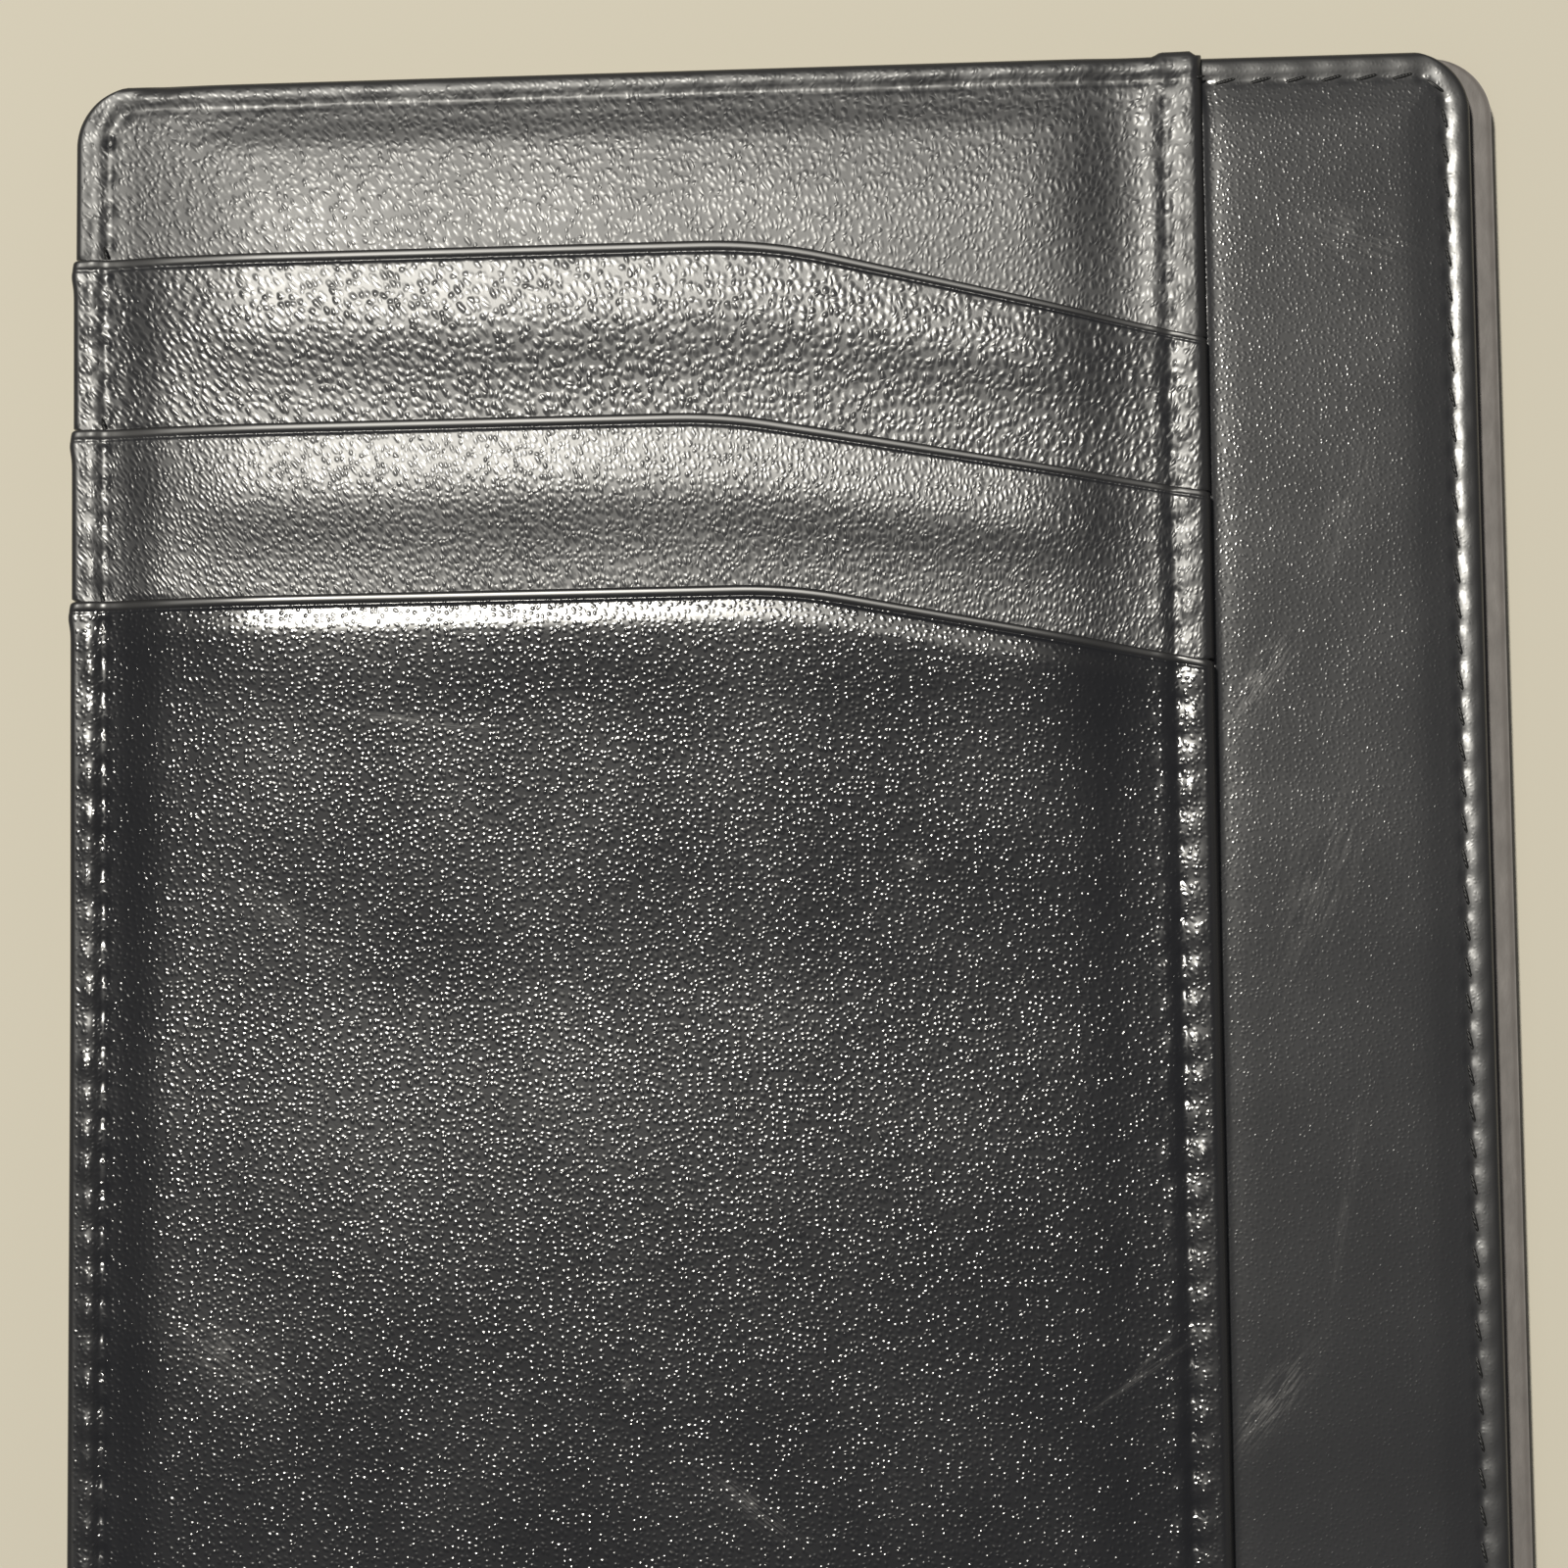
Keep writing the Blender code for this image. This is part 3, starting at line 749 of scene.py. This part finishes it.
def make_grain_group():
    """Isolated round bumps of mixed heights; Fan spreads them towards the mouths."""
    group, given, result = new_group(
        "pebble_grain",
        [("Cells per metre", 2000.0), ("Stretch", 1.0), ("Fan", 0.0), ("Reach", 0.5)],
        ["Height", "Valley", "Patch"],
    )
    place, x, y, _ = object_place(group)
    wobble = math_node(group, "SUBTRACT", noise(group, place, 900.0, 2.0, noise_dimensions="2D"), 0.5)
    shift = math_node(group, "MULTIPLY", wobble, WOBBLE)
    height_up = math_node(group, "SUBTRACT", y, MOUTH_Y[1])
    spread = math_node(group, "ADD", 1.0, math_node(group, "MULTIPLY", height_up, given.outputs["Fan"]))
    across = math_node(group, "ADD", math_node(group, "DIVIDE", x, spread), shift)
    upward = math_node(group, "MULTIPLY", y, given.outputs["Stretch"])
    plan = joined(group, across, math_node(group, "SUBTRACT", upward, shift))
    cells = add_node(group, "ShaderNodeTexVoronoi", voronoi_dimensions="2D", feature="SMOOTH_F1")
    link(group, plan, cells.inputs["Vector"])
    link(group, given.outputs["Cells per metre"], cells.inputs["Scale"])
    cells.inputs["Smoothness"].default_value = 0.2
    cells.inputs["Randomness"].default_value = 0.92
    bump = map_range(group, cells.outputs["Distance"], 0.02, 0.5, 1.0, 0.0, interpolation_type="SMOOTHSTEP")
    link(group, given.outputs["Reach"], bump.node.inputs["From Max"])
    chance = add_node(group, "ShaderNodeSeparateColor")
    link(group, cells.outputs["Color"], chance.inputs[0])
    tall = math_node(group, "MULTIPLY", math_node(group, "POWER", chance.outputs[0], 2.0), TALL_BUMP)
    height = math_node(group, "MULTIPLY", bump, math_node(group, "ADD", LOW_BUMP, tall))
    fine = noise(group, plan, 5200.0, 2.0, noise_dimensions="2D")
    height = math_node(group, "ADD", height, math_node(group, "MULTIPLY", fine, 0.1))
    link(group, height, result.inputs["Height"])
    link(group, math_node(group, "SUBTRACT", 1.0, bump), result.inputs["Valley"])
    link(group, noise(group, place, 120.0, 4.0, noise_dimensions="2D"), result.inputs["Patch"])
    return group


grain_group = make_grain_group()


# %% A rubbed place on the leather


def make_rub_group():
    """A long soft spot around a point, its border broken up by streaks along it."""
    labels = ["Middle X", "Middle Y", "Cosine", "Sine", "Half length", "Half width", "Amount"]
    group, given, result = new_group("rubbed_place", [(label, 0.001) for label in labels], ["Mask"])
    _, x, y, _ = object_place(group)
    dx = math_node(group, "SUBTRACT", x, given.outputs["Middle X"])
    dy = math_node(group, "SUBTRACT", y, given.outputs["Middle Y"])
    cosine, sine = given.outputs["Cosine"], given.outputs["Sine"]

    def turned(operation, first, second):
        parts = math_node(group, "MULTIPLY", first, cosine), math_node(group, "MULTIPLY", second, sine)
        return math_node(group, operation, *parts)

    along = math_node(group, "DIVIDE", turned("ADD", dx, dy), given.outputs["Half length"])
    across = math_node(group, "DIVIDE", turned("SUBTRACT", dy, dx), given.outputs["Half width"])
    drawn_out = joined(group, along, math_node(group, "MULTIPLY", across, 3.5))
    streaks = noise(group, drawn_out, 1.6, 5.0, noise_dimensions="2D")
    squares = [math_node(group, "POWER", run, 2.0) for run in (along, across)]
    far = math_node(group, "ADD", *squares)
    spot = math_node(group, "EXPONENT", math_node(group, "MULTIPLY", far, -1.0))
    broken = map_range(group, streaks, 0.42, 0.62, 0.0, 1.0)
    mask = math_node(group, "MULTIPLY", math_node(group, "MULTIPLY", spot, broken), given.outputs["Amount"])
    link(group, mask, result.inputs["Mask"])
    return group


rub_group = make_rub_group()


def rubbed(tree, rubs):
    """The sum of some rubbed places."""
    total = None
    for x, y, length, width, angle, amount in rubs:
        rub = add_node(tree, "ShaderNodeGroup", node_tree=rub_group)
        turn = math.radians(angle)
        values = (x * MM, y * MM, math.cos(turn), math.sin(turn), length * MM, width * MM, amount)
        for socket, value in zip(rub.inputs, values):
            socket.default_value = value
        mask = rub.outputs["Mask"]
        total = mask if total is None else math_node(tree, "ADD", total, mask, clamp=True)
    return total


# each place is x, y, half length and half width in mm, an angle in degrees, and an amount
FRONT_RUBS = [
    (-30.7, -15.9, 3.0, 1.3, -30, 0.5),
    (-2.0, -24.2, 2.2, 0.45, -38, 0.8),
    (7.1, 10.4, 0.5, 0.3, 10, 1.0),
    (-8.8, -17.4, 0.4, 0.3, 50, 0.9),
    (18.9, -17.3, 2.9, 0.13, 34, 1.0),
    (19.4, -16.3, 1.6, 0.10, 46, 0.8),
    (-27.0, 7.5, 3.6, 0.8, -40, 0.35),
    (-20.0, 18.6, 5.0, 0.25, -6, 0.6),
]
STRIP_RUBS = [
    (26.2, 20.4, 2.4, 0.8, 57, 0.8),
    (25.8, -18.8, 2.6, 0.8, 52, 0.9),
    (29.0, 9.0, 4.5, 1.6, 70, 0.35),
    (31.6, 44.7, 3.0, 1.4, -20, 0.3),
    (31.0, 30.0, 4.0, 1.2, 75, 0.25),
    (30.0, -8.0, 5.0, 0.3, 80, 0.3),
]

# %% Leather material
GRAIN_MIDDLE = 0.35  # the grain's mean height; bare leather keeps this level, so its border makes no step
SMOOTH_BLACK = (0.0095, 0.0098, 0.0120)
WAXED_BLACK = (0.0150, 0.0152, 0.0175)
EDGE_PAINT = (0.024, 0.0235, 0.024)
WORN_LEATHER = (0.075, 0.073, 0.072)
PATCH_GLOSS = 0.025
BARE_GLOSS = 0.12
WORN_GLOSS = 0.16


def new_material(name):
    made = bpy.data.materials.new(name)
    made.use_nodes = True
    return made, made.node_tree, made.node_tree.nodes["Principled BSDF"]


def add_bump(tree, shader, height, relief):
    bump = add_node(tree, "ShaderNodeBump")
    bump.inputs["Strength"].default_value = 1.0
    bump.inputs["Distance"].default_value = relief
    link(tree, height, bump.inputs["Height"])
    link(tree, bump.outputs["Normal"], shader.inputs["Normal"])


def leather(name, cells, relief, polish, dull, reach=0.6, stretch=1.0, fan=0.0, haze=0.15, rubs=()):
    """Black leather: polished pebbles on duller ground, a haze of wax, and no grain on bare edges."""
    made, tree, shader = new_material(name)
    grain = add_node(tree, "ShaderNodeGroup", node_tree=grain_group)
    for socket, value in zip(grain.inputs, (cells, stretch, fan, reach)):
        socket.default_value = value
    bare = add_node(tree, "ShaderNodeAttribute", attribute_name="bare").outputs["Fac"]
    grained = math_node(tree, "SUBTRACT", 1.0, bare)
    height = math_node(tree, "SUBTRACT", grain.outputs["Height"], GRAIN_MIDDLE)
    add_bump(tree, shader, math_node(tree, "MULTIPLY", height, grained), relief)
    patch = map_range(tree, grain.outputs["Patch"], 0.35, 0.65, 0.0, PATCH_GLOSS)
    valley = math_node(tree, "MULTIPLY", grain.outputs["Valley"], dull - polish)
    gloss = math_node(tree, "ADD", patch, math_node(tree, "MULTIPLY", valley, grained))
    gloss = math_node(tree, "ADD", gloss, math_node(tree, "MULTIPLY", bare, BARE_GLOSS))
    gloss = math_node(tree, "ADD", gloss, polish, clamp=True)
    black = blended(tree, grain.outputs["Patch"], SMOOTH_BLACK, WAXED_BLACK)
    black = blended(tree, bare, black, EDGE_PAINT)
    if rubs:
        wear = rubbed(tree, rubs)
        gloss = math_node(tree, "ADD", gloss, math_node(tree, "MULTIPLY", wear, WORN_GLOSS), clamp=True)
        black = blended(tree, wear, black, WORN_LEATHER)
    link(tree, gloss, shader.inputs["Roughness"])
    link(tree, black, shader.inputs["Base Color"])
    shader.inputs["Specular IOR Level"].default_value = 0.45
    shader.inputs["Coat Weight"].default_value = haze
    shader.inputs["Coat Roughness"].default_value = 0.5
    return made


front_grain = leather(
    "front_pocket_leather", 2950.0, 13.6e-6, 0.14, 0.16, reach=0.48, haze=0.06, rubs=FRONT_RUBS
)
middle_grain = leather(
    "middle_pocket_leather", 3600.0, 15e-6, 0.205, 0.31, reach=0.68, stretch=0.7, fan=12.0, haze=0.2
)
upper_grain = leather(
    "upper_pocket_leather", 2900.0, 23e-6, 0.2, 0.31, reach=0.68, stretch=0.7, fan=16.0, haze=0.22
)
band_grain = leather(
    "top_band_leather", 3700.0, 13.5e-6, 0.255, 0.38, reach=0.64, stretch=0.6, fan=16.0, haze=0.2
)
strip_grain = leather(
    "strip_leather", 3400.0, 5.8e-6, 0.155, 0.175, reach=0.45, haze=0.3, rubs=STRIP_RUBS
)
rear_grain = leather("rear_leather", 3300.0, 12e-6, 0.2, 0.26)
finishes = {
    "front_pocket": front_grain,
    "middle_pocket": middle_grain,
    "upper_pocket": upper_grain,
    "top_band": band_grain,
    "front_leather": strip_grain,
    "rear_leather": rear_grain,
}
for node, finish in finishes.items():
    sheets[node].data.materials.append(finish)

# %% [markdown]
# ## Thread, lining, board and edge paint
#
# The thread is waxed and twisted, so fine ridges cross it at a slant. The lining is a plain weave: a
# wave along each thread direction, multiplied, gives its overs and unders. The stiffener is pressed
# board with fibres, and the edge paint is a thick, slightly rippled coat. Each is a pattern that feeds
# both bump and colour: the colour is painted darker in the pattern's low parts, as shade, and lighter
# on its high parts, as light.

# %% Patterns of the small materials
TWIST = 0.22 * MM
WEAVE = 0.5 * MM  # two threads


def wave(tree, value, length):
    """A sine of a place, with its length in metres."""
    return math_node(tree, "SINE", math_node(tree, "MULTIPLY", value, 2 * math.pi / length))


def from_zero(tree, value):
    """A value from -1 to 1, brought to 0 to 1."""
    return math_node(tree, "ADD", 0.5, math_node(tree, "MULTIPLY", value, 0.5))


def twist(tree):
    """Diagonal ridges: they cross a thread at the same slant whether it runs along X or along Y."""
    _, x, y, _ = object_place(tree)
    return from_zero(tree, wave(tree, math_node(tree, "ADD", x, y), TWIST))


def weave(tree):
    """The overs and unders of a plain weave."""
    _, x, y, _ = object_place(tree)
    return from_zero(tree, math_node(tree, "MULTIPLY", wave(tree, x, WEAVE), wave(tree, y, WEAVE)))


def speckle(scale, stretch):
    """Noise drawn out along Y: fibres when it is fine and long, ripples when it is broad and short."""

    def pattern(tree):
        _, x, y, z = object_place(tree)
        drawn_out = joined(tree, x, math_node(tree, "DIVIDE", y, stretch), z)
        return noise(tree, drawn_out, scale, 4.0)

    return pattern


# %% Small materials


def plain(name, colour, rough, pattern, relief):
    """A dull material whose pattern gives its bump, its patches of gloss, and painted shade and light:
    darker colour in its low parts, lighter on its high parts.
    """
    made, tree, shader = new_material(name)
    height = pattern(tree)
    add_bump(tree, shader, height, relief)
    # Painted shade and light: darker in the pattern's low parts (the twist's grooves, the weave's unders),
    # lighter on its high parts; on the board this is also the own tone of its fibres.
    darker, lighter = [tuple(share * part for part in colour) for share in (0.7, 1.3)]
    link(tree, blended(tree, height, darker, lighter), shader.inputs["Base Color"])
    link(tree, map_range(tree, height, 0.0, 1.0, rough + 0.08, rough - 0.08), shader.inputs["Roughness"])
    return made


thread_finish = plain("waxed_thread", (0.010, 0.010, 0.010), 0.5, twist, 0.02 * MM)
cloth_finish = plain("lining_weave", (0.022, 0.021, 0.021), 0.85, weave, 0.04 * MM)
board_finish = plain("pressed_board", (0.16, 0.15, 0.14), 0.9, speckle(6000.0, 4.0), 0.03 * MM)
rim_finish = plain("worn_edge_paint", (0.15, 0.135, 0.125), 0.55, speckle(1500.0, 2.5), 0.03 * MM)
for piece in (front_stitches, pocket_stitches, rear_stitches):
    piece.data.materials.append(thread_finish)
rear_mesh = sheets["rear_leather"].data
rear_mesh.materials.append(rim_finish)
for face in rear_mesh.polygons:
    on_rim = face.normal.z > 0.5 and face.center.z > 0.5 * REAR_TOP_Z
    face.material_index = int(on_rim or face.normal.x > 0.7)

# %% [markdown]
# ## What moves
#
# The front half opens at the right-hand side and stays sewn along the other three. The hinge gives the
# lift at the middle of the open side. Each piece of the front half takes that lift in full only there:
# its share falls to nothing at the sewn left edge, and towards the sewn top and bottom edges.

# %% Bow the front half
SEWN_TO = LEFT + LEFT_SEAM + 1.0 * MM
FREE_FROM = LEFT + 30 * MM


def bow(piece):
    """Blend across the joint from left to right, and hold the top and bottom edges where they are sewn."""
    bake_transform(piece, "rear_half", "front_half", start=(SEWN_TO, 0, 0), end=(FREE_FROM, 0, 0))
    share = piece.data.attributes["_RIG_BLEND"]
    weights = np.zeros(len(piece.data.vertices), np.float32)
    share.data.foreach_get("value", weights)
    co = np.zeros(3 * len(weights), np.float32)
    piece.data.vertices.foreach_get("co", co)
    y = co.reshape(-1, 3)[:, 1]
    held = (TOP - BOTTOM) / 2 - BOTTOM_SEAM - 0.5 * MM
    free = np.clip(1 - (np.abs(y - (TOP + BOTTOM) / 2) / held) ** 2, 0, 1) ** 1.5
    share.data.foreach_set("value", (weights * free).astype(np.float32))


for node in ("front_leather", "top_band", *POCKETS):
    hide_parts(node)
    bow(sheets[node])
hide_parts("rear_leather")
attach(sheets["rear_leather"], "rear_half")
for piece, node in ((front_stitches, "front_seam_thread"), (pocket_stitches, "pocket_seam_thread")):
    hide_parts(node)
    bow(piece)
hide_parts("rear_seam_thread")
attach(rear_stitches, "rear_half")

# %% Inner sheets that bow with the front half


def inner_sheet(node, finish, body):
    """A lining or stiffener with enough points to bend; the rear ones end at the rear rim."""
    low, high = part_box(node)
    if body == "rear_half":
        high.x = REAR_RIGHT - OPEN_RIM - 0.25 * MM
    columns = np.linspace(low.x, high.x, 41)
    rows = np.linspace(low.y, high.y, 56)
    radius = CORNER - (low.x - LEFT)
    middle = (low.x + high.x) / 2
    right_corner = high.x > POCKET_RIGHT

    def outline(X, Y):
        pull = np.zeros_like(X)
        if TOP - high.y < CORNER:
            pull += corner_pull(high.y - Y, radius)
        if low.y - BOTTOM < CORNER:
            pull += corner_pull(Y - low.y, radius)
        side = np.where(X < middle, 1.0, -1.0 if right_corner else 0.0)
        reach = np.abs(X - middle) / (high.x - middle)
        return X + pull * side * reach, Y

    def faces(x, y, X, Y):
        return high.z + 0 * x, low.z + 0 * x, 0 * x

    piece = sheet(node + "_sheet", columns, rows, outline, faces)
    piece.data.materials.append(finish)
    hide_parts(node)
    if body == "rear_half":
        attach(piece, body)
    else:
        bow(piece)
    return piece, [high.x - low.x, high.y - low.y]


LININGS = [
    ("front_lining", "front_half", "front_stiffener"),
    ("lower_pocket_lining", "front_half", "front_leather"),
    ("middle_pocket_lining", "front_half", "lower_pocket_lining"),
    ("upper_pocket_lining", "front_half", "middle_pocket_lining"),
    ("rear_lining", "rear_half", "rear_stiffener"),
]
for node, body, glued_to in LININGS:
    lining, flat = inner_sheet(node, cloth_finish, body)
    print(node, "is cut to", [round(1000 * side, 1) for side in flat], "mm")
inner_sheet("front_stiffener", board_finish, "front_half")
inner_sheet("rear_stiffener", board_finish, "rear_half")

# %% [markdown]
# ## Floor, light and camera
#
# A pale warm floor, one soft lamp high up beyond the top left corner, and a dim even sky. The lamp is
# small enough for each pebble of the grain to show its own highlight. The camera looks almost straight
# down.

# %% Floor
FLOOR_REACH = 4.0
FLOOR_Z = -0.05 * MM
bm = bmesh.new()
bmesh.ops.create_grid(bm, x_segments=1, y_segments=1, size=FLOOR_REACH)
bmesh.ops.translate(bm, verts=bm.verts[:], vec=(0, 0, FLOOR_Z))
floor = mesh_piece("floor", bm)
floor_finish, _, floor_shader = new_material("pale_table")
floor_shader.inputs["Base Color"].default_value = (0.60, 0.56, 0.46, 1.0)
floor_shader.inputs["Roughness"].default_value = 0.7
floor.data.materials.append(floor_finish)

# %% Lights
lamp_data = bpy.data.lights.new("ceiling_lamp", "AREA")
lamp_data.shape = "DISK"
lamp_data.size = 0.11
lamp_data.energy = 12.5
lamp_data.color = (1.0, 0.965, 0.88)
lamp = in_scene("ceiling_lamp", lamp_data)
lamp_aim = Vector((-0.022, 0.043, 0.005))
lamp.location = lamp_aim + Vector((-0.16, 0.22, 1.0)) * 1.1
lamp.rotation_euler = (lamp.location - lamp_aim).to_track_quat("Z", "Y").to_euler()

world = bpy.data.worlds.new("soft_sky")
world.use_nodes = True
sky = world.node_tree.nodes["Background"]
sky.inputs["Color"].default_value = (0.94, 0.96, 1.0, 1.0)
sky.inputs["Strength"].default_value = 0.14
bpy.context.scene.world = world
bpy.context.scene.view_settings.view_transform = "Standard"

# %% Camera
camera_data = bpy.data.cameras.new("camera")
camera_data.lens = 104.1
camera_data.sensor_width = 36.0
camera_data.clip_start = 0.01
camera = in_scene("camera", camera_data)
camera.location = (17.3 * MM, -11.9 * MM, 249.6 * MM)
camera.rotation_euler = [math.radians(angle) for angle in (6.16, 4.11, -0.65)]
bpy.context.scene.camera = camera
